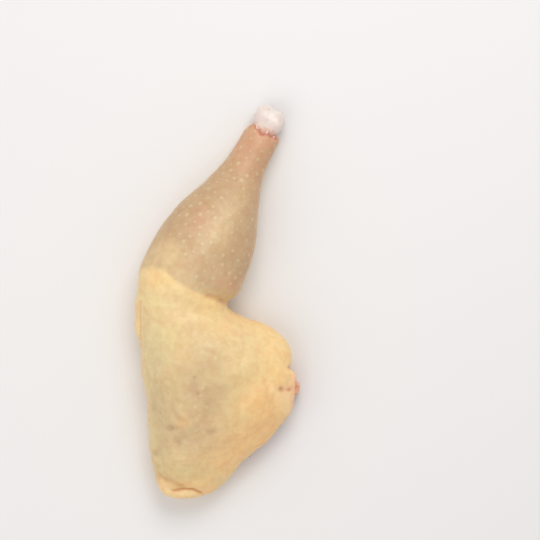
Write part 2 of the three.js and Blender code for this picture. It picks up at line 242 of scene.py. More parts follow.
# What the skin's colour is multiplied by in its large, turned and small patches
RUDDY = (0.945, 0.875, 0.83, 1)
ROSY = (1.0, 0.94, 0.97, 1)
DULL = (0.93, 0.90, 0.87, 1)


def length(name, description, default):
    """A size that a user may change, given in millimetres."""
    return FloatProperty(name=name, description=description, default=default * MM, min=0,
                         precision=5, subtype="DISTANCE", unit="LENGTH")


def colour(name, description, default):
    """A colour that a user may change, given as it shows on screen."""
    return FloatVectorProperty(name=name, description=description, default=default, size=3,
                               min=0, max=1, subtype="COLOR_GAMMA")


def power(name, description, default):
    """The power of a light, in watts."""
    return FloatProperty(name=name, description=description, default=default, unit="POWER")


class SkinSettings(bpy.types.PropertyGroup):
    cell: length("Cell", "Width of one face of the skin", 0.7)
    step: length("Skin thickness", "How far the skin stands proud of the meat", 0.9)
    rim: length("Rim", "Width of the skin that is tucked under the leg", 8)
    waves: length("Waves", "Height of the soft unevenness of the skin", 0.3)
    yellow: colour("Yellow skin", "Fat skin of the thigh", (0.925, 0.82, 0.597))
    # Also painted over the calf's sides and underside as painted light
    cream: colour("Cream skin", "Pale skin over the crown and on the lip", (0.925, 0.823, 0.617))
    olive: colour("Olive skin", "Cooler skin along the front", (0.895, 0.82, 0.61))
    olive_dark: colour("Dark olive skin", "Darker skin at the lower front", (0.81, 0.72, 0.545))
    beige: colour("Beige skin", "Skin with the thigh muscle showing through", (0.80, 0.688, 0.515))
    straw: colour("Straw skin", "Fat from the hip to the tail end", (0.83, 0.728, 0.51))
    # Also painted over the thigh's sides as painted light, lighter where they turn from the lamps
    gold: colour("Gold skin", "Fatter skin along the upper edge and the back", (1.0, 0.852, 0.59))
    orange: colour("Orange skin", "Deep yellow skin near the cut", (0.985, 0.81, 0.55))
    amber: colour("Amber skin", "Deep yellow skin at the lower edge", (0.99, 0.80, 0.54))
    blush: colour("Blush", "Skin with blood close under it", (1.0, 0.785, 0.62))
    # Painted shade: the dark orange-brown laid deep in the folds and dents
    hollow_shade: colour("Stain", "Skin deep in a fold", (0.78, 0.50, 0.25))
    raw: colour("Raw edge", "Skin's torn edge beside the back bone", (0.92, 0.64, 0.51))
    # Painted shade: small dark spots in the dents, creases and holes of the tear
    shade_spots: colour("Dusk", "Small dark marks", (0.65, 0.49, 0.34))
    flap: colour("Flap", "Pale skin of the lip and below the tear", (1.0, 0.852, 0.625))
    thin: colour("Thin skin", "Skin over the knee, meat showing through", (0.86, 0.75, 0.565))
    thin_far: colour("Far thin skin", "Skin over the calf", (0.775, 0.645, 0.485))
    thin_pink: colour("Pink thin skin", "Skin near the hock", (0.83, 0.62, 0.485))
    follicle: colour("Follicle", "Tips of the feather follicles", (0.93, 0.82, 0.64))


class FollicleSettings(bpy.types.PropertyGroup):
    spacing: length("Spacing", "Least distance between two follicles", 4.1)
    radius: length("Radius", "Half width of a follicle's bump", 1.9)
    height: length("Height", "Rise of a follicle's bump", 0.15)
    seed: IntProperty(name="Seed", description="Start of the random placing", default=4)


class MeatSettings(bpy.types.PropertyGroup):
    meat: colour("Meat", "Raw muscle", (0.88, 0.62, 0.53))
    deep: colour("Deep meat", "Darker raw muscle", (0.78, 0.47, 0.38))
    sinew: colour("Sinew", "Silver skin and seams over the meat", (0.92, 0.80, 0.74))
    tendon: colour("Tendon", "Pinker patches of a tendon's end", (0.90, 0.72, 0.65))
    fat: colour("Fat", "Fat at the rim of the skin", (0.97, 0.88, 0.68))
    shred_pale: colour("Pale shred", "Pale torn meat and membrane", (0.90, 0.68, 0.55))
    shred_red: colour("Red shred", "Redder patches of it", (0.85, 0.58, 0.465))
    bead: length("Fat bead", "Half width of a lump of fat", 1.7)
    shred: length("Shred", "Half width of a shred of meat or tendon", 0.55)


class BoneSettings(bpy.types.PropertyGroup):
    cell: length("Cell", "Width of one face of the bones", 0.42)
    bone: colour("Bone", "Hard wall of a bone", (0.90, 0.77, 0.67))
    bloody: colour("Bloody bone", "Redder patches of it", (0.88, 0.64, 0.56))
    marrow: colour("Marrow", "Red spongy inside of a sawn bone", (0.68, 0.35, 0.29))
    pale_marrow: colour("Pale marrow", "Paler walls between its pores", (0.82, 0.5, 0.42))
    torn: colour("Torn end", "Meat and membrane on the broken end", (0.93, 0.71, 0.56))
    torn_red: colour("Red torn end", "Redder patches of it", (0.89, 0.60, 0.46))
    cartilage: colour("Cartilage", "Smooth end of a bone", (0.91, 0.865, 0.815))
    pearl: colour("Pearly cartilage", "Bluish and pink patches of it", (0.86, 0.78, 0.76))


class StageSettings(bpy.types.PropertyGroup):
    floor: colour("Floor", "Plain floor", (0.90, 0.89, 0.885))
    key_power: power("Key", "Power of the large light", 4.5)
    fill_power: power("Fill", "Power of the frontal light", 2.9)
    air: FloatProperty(name="Surroundings", description="Light from all sides", default=0.61)


SETTINGS = {
    "leg_skin": SkinSettings,
    "leg_follicles": FollicleSettings,
    "leg_meat": MeatSettings,
    "leg_bone": BoneSettings,
    "leg_stage": StageSettings,
}


# Node trees


def find(sockets, name=None):
    """The shown socket of that name or identifier, or the first one."""
    shown = [s for s in sockets if s.enabled]
    return shown[0] if name is None else next(s for s in shown if name in (s.identifier, s.name))


class Value:
    """A node's output. Arithmetic on it adds Math nodes to the same tree."""

    def __init__(self, recipe, socket):
        self.recipe = recipe
        self.socket = socket

    def other(self, name):
        """Another output of the same node."""
        return Value(self.recipe, find(self.socket.node.outputs, name))

    def __add__(self, other):
        return self.recipe.math("ADD", self, other)

    def __sub__(self, other):
        return self.recipe.math("SUBTRACT", self, other)

    def __rsub__(self, other):
        return self.recipe.math("SUBTRACT", other, self)

    def __mul__(self, other):
        return self.recipe.math("MULTIPLY", self, other)

    __radd__ = __add__
    __rmul__ = __mul__


class Recipe:
    """Fills a node tree."""

    def __init__(self, tree):
        self.tree = tree

    def node(self, kind, settings=None, sockets=None, output=None):
        """Adds a node of that type: its settings first, then its sockets' values or links."""
        made = self.tree.nodes.new(kind)
        for name, value in (settings or {}).items():
            setattr(made, name, value)
        for name, value in (sockets or {}).items():
            self.put(find(made.inputs, name), value)
        return Value(self, find(made.outputs, output)) if made.outputs else made

    def put(self, socket, value):
        if isinstance(value, Value):
            self.tree.links.new(value.socket, socket)
        elif value is not None:
            socket.default_value = value

    def math(self, operation, a, b=None):
        values = {"Value": a} if b is None else {"Value": a, "Value_001": b}
        return self.node("ShaderNodeMath", {"operation": operation}, values)

    def step(self, value, low, high):
        """0 up to low and 1 from high on, smooth in between."""
        ends = {"Value": value, "From Min": low, "From Max": high}
        return self.node("ShaderNodeMapRange", {"interpolation_type": "SMOOTHSTEP"}, ends)

    def mix(self, share, a, b, way="MIX"):
        """Colour a, changed towards colour b by share."""
        settings = {"data_type": "RGBA", "blend_type": way}
        sockets = {"Factor_Float": share, "A_Color": a, "B_Color": b}
        return self.node("ShaderNodeMix", settings, sockets, "Result_Color")

    def noise(self, size, detail=2.0, roughness=0.5, distortion=0.0, place=None):
        """Cloudy noise from 0 to 1 whose patches are about size millimetres across."""
        return self.node("ShaderNodeTexNoise", {}, {
            "Vector": place or self.place(),
            "Scale": 1 / (size * MM),
            "Detail": detail,
            "Roughness": roughness,
            "Distortion": distortion,
        }, "Fac")

    def patches(self, low, high, *cloud):
        """1 where that cloudy noise is above high, and 0 where it is below low."""
        return self.step(self.noise(*cloud), low, high)

    def cells(self, size, feature="F1"):
        """Distance from the middle or the edge of irregular cells of that size in millimetres."""
        sockets = {"Vector": self.place(), "Scale": 1 / (size * MM)}
        return self.node("ShaderNodeTexVoronoi", {"feature": feature}, sockets, "Distance")

    def place(self):
        return self.node("ShaderNodeTexCoord", {}, {}, "Object")

    def stretched(self, turn, stretch):
        """Object coordinates turned about Z and squeezed along the turned X, for streaks."""
        sockets = {"Vector": self.place(), "Rotation": (0, 0, math.radians(-turn))}
        turned = self.node("ShaderNodeMapping", {"vector_type": "POINT"}, sockets)
        return self.node("ShaderNodeMapping", {}, {"Vector": turned, "Scale": (1 / stretch, 1, 1)})

    def layer(self, name, output="Fac"):
        """A value or colour kept for each place of the mesh."""
        return self.node("ShaderNodeAttribute", {"attribute_name": name}, {}, output)

    def bump(self, height, depth):
        """Normals of a surface that rises by depth millimetres as height goes from 0 to 1."""
        sockets = {"Height": height, "Distance": depth * MM, "Strength": 0.5}
        return self.node("ShaderNodeBump", {}, sockets)


def linear(shown):
    """A colour as it shows on screen, as the light it stands for."""
    return (*((c / 12.92 if c <= 0.04045 else ((c + 0.055) / 1.055) ** 2.4) for c in shown), 1.0)


def material(name, fill, *settings):
    """A new material whose shader's sockets fill returns, given a recipe and those settings."""
    made = bpy.data.materials.new(name)
    made.use_nodes = True
    made.node_tree.nodes.clear()
    recipe = Recipe(made.node_tree)
    shader = recipe.node("ShaderNodeBsdfPrincipled", {}, fill(recipe, *settings))
    recipe.node("ShaderNodeOutputMaterial", {}, {"Surface": shader})
    return made


# Whole fields of places


def smooth_step(value, low, high):
    t = np.clip((value - low) / (high - low), 0, 1)
    return t * t * (3 - 2 * t)


def beside_route(route, places):
    """Distance off a route seen from above, positive on its left, and the share passed there."""
    route = np.array(route, float)
    steps = np.diff(route, axis=0)
    lengths = np.hypot(*steps.T)
    before = np.concatenate([[0], np.cumsum(lengths)])
    nearest = np.full(len(places), np.inf)
    side = np.zeros(len(places))
    share = np.zeros(len(places))
    for start, step, size, passed in zip(route, steps, lengths, before):
        off = places[:, :2] - start
        t = np.clip(off @ step / size**2, 0, 1)
        gap = np.hypot(*(off - t[:, None] * step).T)
        closer = gap < nearest
        nearest[closer] = gap[closer]
        side[closer] = np.sign(step[0] * off[closer, 1] - step[1] * off[closer, 0])
        share[closer] = (passed + t[closer] * size) / before[-1]
    return nearest * np.where(side == 0, 1, side), share


def beside_line(start, way, places):
    """Distance along a line seen from above, and distance to its right."""
    dx, dy = (places[:, :2] - start).T
    return dx * way[0] + dy * way[1], dx * way[1] - dy * way[0]


def beside_shank(places):
    return beside_line(CALF, SHANK_WAY, places)


def way_between(start, end):
    way = np.subtract(end, start)
    return way / np.hypot(*way)


def beside_cut(places):
    """Distance along the cut through the back, and distance outwards from it."""
    along, right = beside_line(CUT_FROM, way_between(CUT_FROM, CUT_TO), places)
    return along, -right


def cut_outwards():
    x, y = way_between(CUT_FROM, CUT_TO)
    return np.array([-y, x])


def facing_cut(form):
    """Whether the surface at each place looks outwards from the cut."""
    return form.normals[:, :2] @ cut_outwards() > 0.75


def within_cut(along):
    return (along > CUT_SPAN[0]) & (along < CUT_SPAN[1])


def across_patch(patch, places):
    """A patch's own coordinates at each place: along its turned spans, in millimetres."""
    c, s = math.cos(math.radians(patch.turn)), math.sin(math.radians(patch.turn))
    dx, dy = (places[:, :2] - patch.at).T
    return dx * c + dy * s, dy * c - dx * s


def mound(patch, places):
    """1 in the middle of a patch, falling off smoothly."""
    u, v = across_patch(patch, places)
    return np.exp(-((u / patch.span[0]) ** 2) - (v / patch.span[1]) ** 2)


def distance_to(targets, places):
    """Distance from each place to the nearest target."""
    tree = KDTree(len(targets))
    for n, target in enumerate(targets.tolist()):
        tree.insert(target, n)
    tree.balance()
    return np.array([tree.find(p)[2] for p in places.tolist()])


def waves(places, size, seed):
    """Smooth noise from about -1 to 1, its hills about size millimetres across."""
    return np.array([noise.noise(p) for p in (places / size + seed).tolist()])


def soft_dots(places, spread):
    """1 in the middle of soft round dots some spread millimetres apart, and 0 between them."""
    off = np.array([noise.voronoi(p)[0][0] for p in (places / (0.8 * spread)).tolist()])
    return 1 - smooth_step(off, 0.06, 0.38)


class Form:
    """A closed mesh as arrays, in the millimetres of the drawing."""

    def __init__(self, mesh):
        self.mesh = mesh
        self.places = places_of(mesh)
        edges = read(mesh.edges, "vertices", 2, np.int32)
        self.ends = edges.T.ravel()
        self.others = edges[:, ::-1].T.ravel()
        self.degree = np.bincount(self.ends, minlength=len(self.places))
        self.settle()

    def settle(self):
        """Puts the places back into the mesh and finds the normals."""
        self.mesh.vertices.foreach_set("co", ((self.places + ZERO) * MM).astype(np.float32).ravel())
        self.mesh.update()
        self.normals = read(self.mesh.vertices, "normal", 3)

    def zeros(self):
        return np.zeros(len(self.places))

    def facing_up(self, low, high):
        """0 where the normal's upward part is below low, and 1 where it is above high."""
        return smooth_step(self.normals[:, 2], low, high)

    def waves(self, size, seed):
        return waves(self.places, size, seed)

    def mean_beside(self, values):
        """The mean of a value over the neighbours of each place."""
        return np.bincount(self.ends, values[self.others], len(values)) / self.degree

    def relax(self, rounds, share=0.5):
        """Draws each place by a share, its own or that of all, to its neighbours' middle."""
        for _ in range(rounds):
            middle = np.stack([self.mean_beside(axis) for axis in self.places.T], 1)
            self.places += np.reshape(share, (-1, 1)) * (middle - self.places)
        self.settle()

    def push(self, rise):
        """Moves each place outwards by its own rise."""
        self.places += self.normals * rise[:, None]
        self.settle()

    def soften(self, values, rounds):
        """Evens out a value that each place has."""
        for _ in range(rounds):
            values = 0.5 * values + 0.5 * self.mean_beside(values)
        return values

    def keep_layer(self, name, values):
        """Stores a value or a colour for each place, for materials and node trees to read."""
        kind, field = "FLOAT", "value"
        if values.ndim == 2:
            kind, field = "FLOAT_COLOR", "color"
            values = np.column_stack([values, np.ones(len(values))])
        layer = self.mesh.attributes.new(name, kind, "POINT")
        layer.data.foreach_set(field, values.astype(np.float32).ravel())


def read(items, name, width, kind=np.float64):
    """A property of all of a mesh's items as an array."""
    plain = np.empty(len(items) * width, np.int32 if kind is np.int32 else np.float32)
    items.foreach_get(name, plain)
    return plain.reshape(-1, width).astype(kind)


def places_of(mesh):
    return read(mesh.vertices, "co", 3) / MM - ZERO


# Objects


def add_object(name, data):
    made = bpy.data.objects.new(name, data)
    bpy.context.scene.collection.objects.link(made)
    return made


def baked(holder, name):
    """The holder's mesh after its modifiers, as a plain mesh."""
    graph = bpy.context.evaluated_depsgraph_get()
    made = bpy.data.meshes.new_from_object(holder.evaluated_get(graph))
    made.name = name
    return made


def fine_copy(node, cell):
    """A closed mesh of even faces over a CAD node, as a Form."""
    source = bmesh.new()
    source.from_mesh(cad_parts[node].data)
    bmesh.ops.remove_doubles(source, verts=source.verts, dist=1e-6)
    holder = add_object(node + "_copy", bpy.data.meshes.new(node + "_copy"))
    source.to_mesh(holder.data)
    source.free()
    remesh = holder.modifiers.new("Even faces", "REMESH")
    remesh.mode = "VOXEL"
    remesh.voxel_size = cell
    made = baked(holder, node + "_fine")
    bpy.data.objects.remove(holder)
    return Form(made)


def finish_piece(name, mesh, look, slot, node=None):
    """A finished piece of the object, riding with it."""
    if not mesh.polygons:
        raise RuntimeError(f"{name} has no faces")
    if not mesh.materials:
        mesh.materials.append(look)
    mesh.polygons.foreach_set("use_smooth", [True] * len(mesh.polygons))
    piece = add_object(name, mesh)
    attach(piece, "root")
    if node:
        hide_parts(node)
    return piece


def skin_object():
    found = bpy.data.objects.get("skinned_meat")
    if not found:
        raise RuntimeError("the skinned meat is made first")
    return found


# The skin and the meat


def fold_rise(form):
    """Rise of the skin from its folds, and the painted shade deep in them."""
    rise, hollow_shade = form.zeros(), form.zeros()
    upwards = form.facing_up(-0.15, 0.25)
    for fold in FOLDS:
        off, share = beside_route(fold.route, form.places)
        shown = smooth_step(share, 0, 0.2) * smooth_step(1 - share, 0, 0.2) * upwards
        inside = shown * np.exp(-((off / fold.half) ** 2))
        roll = shown * np.exp(-((off / fold.half + 2.4) ** 2) / 2)
        rise += fold.roll * roll - fold.depth * inside
        hollow_shade = np.maximum(hollow_shade, fold.hollow_shade * inside)
    return rise, hollow_shade


def wrinkle_rise(form):
    """Rise of the skin from patches of fine creases."""
    rise = form.zeros()
    upwards = form.facing_up(0, 0.4)
    wander = form.waves(6, 31)
    for patch in WRINKLES:
        _, across = across_patch(patch, form.places)
        crest = np.cos(2 * np.pi * (across / patch.pitch + 0.9 * wander))
        rise += patch.depth * crest * mound(patch, form.places) * upwards
    return rise


def marked(form, marks):
    """Strength of several spots together on the upper side."""
    upwards = form.facing_up(-0.5, 0.1)
    return sum(mark.strength * mound(mark, form.places) for mark in marks) * upwards


def meat_shares(form, rim):
    """Where the meat shows and where fat does, from 0 to 1."""
    height = form.places[:, 2]
    along, outwards = beside_cut(form.places)
    beside = within_cut(along)
    # The raw face of the cut, lower towards both of its ends
    face_top = FACE_TOP + form.waves(4, 77)
    face_top -= 8 * smooth_step(along, 42, 50) + 4 * smooth_step(-along, 0, 8)
    face = beside & (np.abs(outwards - 0.6) < 0.9) & facing_cut(form) & (height < face_top)
    under = (form.normals[:, 2] < -0.4) & (height < OVERHANG_FOOT)
    overhang = beside & (form.normals[:, 2] < -0.35) & (height > OVERHANG_FOOT) & (outwards > 0.4)
    off_bone = distance_to(places_of(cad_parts["back_bone"].data), form.places)
    near_bone = (1 - smooth_step(off_bone, 2, 3.2)) * ((height < 12) & ~overhang)
    # The meat side inside the rim of skin that is tucked under it
    sides = ~under & ~face & ~overhang & (near_bone < 0.1)
    inset = form.zeros()
    inset[under] = distance_to(form.places[sides], form.places[under])
    inset -= rim + 0.35 * rim * form.waves(16, 5) + 1.1 * form.waves(5, 8)
    off_knee, _ = beside_route(KNEE_LINE, form.places)
    on_thigh = smooth_step(-off_knee + 2 * form.waves(9, 2), 5, 8)
    meat_side = smooth_step(inset, 0, 1) * on_thigh * under
    # The skin's open end round the shank
    shank, _ = beside_shank(form.places)
    facing_end = form.normals[:, :2] @ SHANK_WAY + 0.2 * form.waves(2.5, 21)
    end = smooth_step(facing_end, 0.55, 0.8) * (shank > SKIN_END - 6)
    meat = np.maximum.reduce([meat_side, face * 1.0, near_bone, end])
    rim_fat = np.exp(-((inset / 1.3) ** 2)) * under * (off_knee < -5)
    return meat, np.clip(np.maximum(overhang, rim_fat) - 0.4 * meat, 0, 1)


def flap_share(form):
    """1 on the torn flap and 0 round it."""
    share = form.facing_up(0, 0.3)
    for start, end, width in zip(FLAP, FLAP[1:] + FLAP[:1], FLAP_EDGES):
        _, right = beside_line(start, way_between(start, end), form.places)
        share = share * smooth_step(right, -width / 2, width / 2)
    return share


def skin_tint(form, skin, yellow, flap):
    """Colour of the skin at each place, before its mottling, with painted light on the sides of
    thigh and calf.
    """

    def painted(under, share, shown):
        share = np.reshape(np.clip(share, 0, 1), (-1, 1))
        return under + share * (np.array(linear(shown)[:3]) - under)

    def patched(under, zones, uneven):
        for shown, patches in zones:
            for patch in patches:
                share = patch.strength * uneven * mound(patch, form.places)
                under = painted(under, share, getattr(skin, shown))
        return under

    clean = np.ones((len(form.places), 3))
    thigh = painted(clean, 1, skin.yellow)
    thigh = patched(thigh, ZONES, 1 + 0.25 * form.waves(7, 61))
    # painted light: the thigh's sides, turned from the lamps, are painted a lighter gold
    thigh = painted(thigh, 0.6 * (1 - form.facing_up(0, 0.5)), skin.gold)
    thigh = painted(thigh, 0.95 * flap, skin.flap)
    thigh = patched(thigh, TEAR_ZONES, 1)
    along, _ = beside_shank(form.places)
    far = along + 5 * form.waves(15, 43)
    pink = 0.8 * smooth_step(far, 40, 76) * (0.75 + 0.5 * form.waves(8, 47))
    calf = painted(clean, 1, skin.thin)
    calf = painted(calf, smooth_step(far, -14, 14), skin.thin_far)
    calf = patched(calf, CALF_ZONES, 1 + 0.6 * form.waves(5, 71))
    calf = painted(calf, pink, skin.thin_pink)
    # painted light: the calf's sides and underside, turned from the lamps, are painted a paler cream
    calf = painted(calf, 0.7 * (1 - form.facing_up(-0.1, 0.45)), skin.cream)
    return calf + yellow[:, None] * (thigh - calf)


def shape_flesh(form, skin):
    """Gives the even form its folds, wrinkles and relief, and keeps its material's layers."""
    along_cut, outwards = beside_cut(form.places)
    near_edge = np.exp(-(((outwards - 5) / 4) ** 2)) * within_cut(along_cut)
    form.relax(22, 0.5 - 0.22 * near_edge)
    meat, fat = (form.soften(share, 2) for share in meat_shares(form, skin.rim / MM))
    bare = 1 - meat
    # The edge of the yellow skin slants towards the thigh down the front side
    off_knee, _ = beside_route(KNEE_LINE, form.places)
    on_side = (1 - form.facing_up(0.1, 0.6)) * smooth_step(-form.places[:, 0], 25, 38)
    slant = on_side * (0.8 * np.maximum(20 - form.places[:, 2], 0) + 2 * form.waves(7, 50))
    yellow = 1 - smooth_step(off_knee + 1.2 * form.waves(4, 12) + slant, -1.6, 2)
    # Soft unevenness, and pores in the yellow skin
    rise = skin.waves / MM * (0.5 + 0.5 * yellow) * (0.9 * form.waves(9, 3) + form.waves(4.2, 17))
    pores = soft_dots(form.places, 4.3) * yellow * smooth_step(form.waves(13, 23), -0.35, 0.25)
    rise += 0.05 * form.waves(2.2, 40) + 0.12 * pores
    form.push(rise * bare)
    # Folds, creases and the flap, and the meat a skin's thickness deeper
    folded, hollow_shade = fold_rise(form)
    flap = flap_share(form)
    fine = folded + wrinkle_rise(form) - marked(form, DENTS) + 0.5 * flap
    fine += 0.25 * fat * form.waves(3, 9) + 0.35 * fat
    form.push(fine * bare + meat * (meat_relief(form) - skin.step / MM))
    form.places[:, 2] = np.maximum(form.places[:, 2], 0)
    shape_skin_end(form)
    form.settle()
    height = form.places[:, 2]
    _, right = beside_shank(form.places)
    on_calf = (1 - yellow) * smooth_step(off_knee + 0.5 * right, 2, 16)
    facing_down = smooth_step(-form.normals[:, 2], 0.7, 0.85)
    layers = {
        "tint": skin_tint(form, skin, yellow, flap),
        "meat": meat,
        "fat": fat,
        # painted shade deep in the folds and dents
        "hollow_shade": np.clip(hollow_shade + marked(form, HOLLOW_SHADES), 0, 1),
        "pore": pores,
        "follicle": on_calf * (smooth_step(height, 2, 6) * bare * (1 - fat)),
        "lump": fat * smooth_step(height, 7, 9) * facing_down,
    }
    for name, values in layers.items():
        form.keep_layer(name, values)


def meat_relief(form):
    """Bundles of fibres that run slantwise over the meat side."""
    patch = Wrinkles((0, -45), (1, 1), -48, 1, 1)
    along, across = across_patch(patch, form.places)
    streaks = np.stack([along / 22, across / 3.2, form.places[:, 2] / 9], 1)
    fine = np.stack([along / 9, across / 1.5, form.places[:, 2] / 5], 1)
    return 0.4 * waves(streaks, 1, 6) + 0.16 * waves(fine, 1, 14)


def shape_skin_end(form):
    """Draws the skin's end round the shank out unevenly, and gathers it there."""
    along, right = beside_shank(form.places)
    angle = np.arctan2(form.places[:, 2] - SHANK_HEIGHT, right)
    near = smooth_step(along, SKIN_END - 12, SKIN_END - 1)
    ragged = 1.1 * np.sin(3 * angle + 1) + 0.8 * np.sin(5 * angle + 2.2) + 0.5 * np.sin(11 * angle)
    form.places[:, :2] += (near * ragged)[:, None] * SHANK_WAY


def skin_fill(recipe, skin, meat):
    """The mottled skin, with its fat and the fibres of the bare meat where their layers say so."""
    names = ("meat", "fat", "hollow_shade", "tip", "pore")
    bare, fat, hollow_shade, tip, pore = (recipe.layer(name) for name in names)
    large = recipe.patches(0.4, 0.64, 5.5, 1.5, 0.5, 0.4) * 0.65
    turned = recipe.patches(0.48, 0.68, 8, 1.5, 0.5, 0.5, recipe.stretched(30, 1)) * 0.6
    small = recipe.patches(0.36, 0.66, 3, 1.5, 0.5) * 0.55
    base = recipe.layer("tint", "Color")
    for share, shade in ((large, RUDDY), (turned, ROSY), (small, DULL)):
        base = recipe.mix(share, base, shade, "MULTIPLY")
    # cream dots, follicle tips, painted shade in the folds and dents, and fat, over the mottling
    shades = (skin.cream, skin.follicle, skin.hollow_shade, meat.fat)
    for share, shade in zip((pore * 0.32, tip * 0.4, hollow_shade, fat), shades):
        base = recipe.mix(share, base, linear(shade))
    streaks = recipe.patches(0.35, 0.7, 2.2, 3, 0.6, 0.2, recipe.stretched(-48, 7))
    flesh = recipe.mix(streaks, linear(meat.deep), linear(meat.meat))
    seams = recipe.patches(0.58, 0.72, 9, 3, 0.5, 0.6) * 0.8
    flesh = recipe.mix(seams, flesh, linear(meat.sinew))
    net = recipe.step(recipe.cells(1.1, "DISTANCE_TO_EDGE"), 0, 0.14)
    return {
        "Base Color": recipe.mix(bare, base, flesh),
        "Roughness": recipe.noise(3, 2) * 0.16 + 0.42 - bare * 0.12,
        "Coat Weight": 0.18,
        "Coat Roughness": 0.3,
        "Subsurface Weight": 0.15,
        "Subsurface Radius": (1.0, 0.5, 0.25),
        "Subsurface Scale": 2.2 * MM,
        "Normal": recipe.bump(recipe.noise(0.45, 2) * 0.5 + net * 0.5, 0.12),
    }


class MakeSkin(bpy.types.Operator):
    """Makes the flesh with its skin: folds, wrinkles, tucked rim, meat side and cut face"""

    bl_idname = "leg_quarter.skin"
    bl_label = "Skinned meat"

    def execute(self, context):
        skin = context.scene.leg_skin
        form = fine_copy("leg_quarter", skin.cell)
        shape_flesh(form, skin)
        look = material("moist_skin", skin_fill, skin, context.scene.leg_meat)
        finish_piece("skinned_meat", form.mesh, look, "skin", "leg_quarter")
        return {"FINISHED"}


# What repeats


def new_tree(name, inputs):
    """A node tree with those inputs, the recipe that fills it, and its inputs by name."""
    tree = bpy.data.node_groups.new(name, "GeometryNodeTree")
    tree.is_modifier = True
    for title, kind in inputs.items():
        tree.interface.new_socket(title, in_out="INPUT", socket_type="NodeSocket" + kind)
    tree.interface.new_socket("Geometry", in_out="OUTPUT", socket_type="NodeSocketGeometry")
    recipe = Recipe(tree)
    given = recipe.node("NodeGroupInput", {}, {}, "Geometry")
    return tree, recipe, {title: given.other(title) for title in inputs}


def finish_tree(recipe, geometry, look):
    """Ends a tree: everything real, smooth and of that material."""
    real = recipe.node("GeometryNodeRealizeInstances", {}, {"Geometry": geometry})
    smooth = recipe.node("GeometryNodeSetShadeSmooth", {}, {"Geometry": real})
    painted = recipe.node("GeometryNodeSetMaterial", {}, {"Geometry": smooth, "Material": look})
    recipe.node("NodeGroupOutput", {}, {"Geometry": painted})


def bump_tree():
    """Scatters low round bumps, closed underneath, as densely as a layer of the mesh says."""
    floats = dict.fromkeys(("Spacing", "Density", "Radius", "Height", "Smallest"), "Float")
    others = {"Layer": "String", "Seed": "Int", "Material": "Material"}
    tree, recipe, given = new_tree("Scattered bumps", {"Geometry": "Geometry", **floats, **others})
    skin, seed = given["Geometry"], given["Seed"]

    def kept(name, kind="FLOAT"):
        return recipe.node("GeometryNodeInputNamedAttribute", {"data_type": kind}, {"Name": name})

    def keep(geometry, name, value, kind="FLOAT"):
        settings = {"data_type": kind, "domain": "POINT"}
        sockets = {"Geometry": geometry, "Name": name, "Value": value}
        return recipe.node("GeometryNodeStoreNamedAttribute", settings, sockets)

    # One bump is a cone of four rings. It is laid flat on the skin and then lifted to a round top
    # that levels out, while its rim and its foot sink below the skin.
    cone = recipe.node("GeometryNodeMeshCone", {"fill_type": "TRIANGLE_FAN"}, {
        "Vertices": 8,
        "Side Segments": 4,
        "Radius Top": 0.0,
        "Radius Bottom": 1.2,
        "Depth": 1.0,
    })
    place = recipe.node("GeometryNodeInputPosition")
    x = recipe.node("ShaderNodeSeparateXYZ", {}, {"Vector": place}, "X")
    y, z = x.other("Y"), x.other("Z")
    off = recipe.math("SQRT", x * x + y * y)
    inner = recipe.math("MAXIMUM", 1 - off * off, 0.0)
    top = inner * inner
    is_foot = recipe.math("LESS_THAN", z, 0.01) * recipe.math("LESS_THAN", off, 0.1)
    bump = keep(cone, "lift", top - recipe.math("GREATER_THAN", off, 1.1) * 0.6 - is_foot * 2.2)
    bump = keep(bump, "tip", recipe.step(top, 0.0, 0.9))
    flat = recipe.node("ShaderNodeCombineXYZ", {}, {"X": x, "Y": y})
    bump = recipe.node("GeometryNodeSetPosition", {}, {"Geometry": bump, "Position": flat})

    points = recipe.node("GeometryNodeDistributePointsOnFaces", {"distribute_method": "POISSON"}, {
        "Mesh": skin,
        "Distance Min": given["Spacing"],
        "Density Max": given["Density"],
        "Density Factor": kept(given["Layer"]),
        "Seed": seed,
    })
    size = recipe.node("FunctionNodeRandomValue", {"data_type": "FLOAT"},
                       {"Min": given["Smallest"], "Max": 1.0, "Seed": seed + 1})
    wide = given["Radius"] * size
    placed = recipe.node("GeometryNodeInstanceOnPoints", {}, {
        "Points": keep(points, "size", size),
        "Instance": bump,
        "Rotation": points.other("Rotation"),
        "Scale": recipe.node("ShaderNodeCombineXYZ", {}, {"X": wide, "Y": wide, "Z": 1.0}),
    })
    real = recipe.node("GeometryNodeRealizeInstances", {}, {"Geometry": placed})

    def nearest(value, kind):
        sockets = {"Mesh": skin, "Value": value}
        return recipe.node("GeometryNodeSampleNearestSurface", {"data_type": kind}, sockets)

    for name, kind in SKIN_LAYERS.items():
        real = keep(real, name, nearest(kept(name, kind), kind), kind)
    real = keep(real, "tip", kept("tip") * kept("size"))
    lift = kept("lift") * kept("size") * given["Height"]
    normal = nearest(recipe.node("GeometryNodeInputNormal"), "FLOAT_VECTOR")
    sockets = {"Vector": normal, "Scale": lift}
    raised = recipe.node("GeometryNodeSetPosition", {}, {
        "Geometry": real,
        "Position": nearest(recipe.node("GeometryNodeInputPosition"), "FLOAT_VECTOR"),
        "Offset": recipe.node("ShaderNodeVectorMath", {"operation": "SCALE"}, sockets),
    })
    finish_tree(recipe, raised, given["Material"])
    return tree


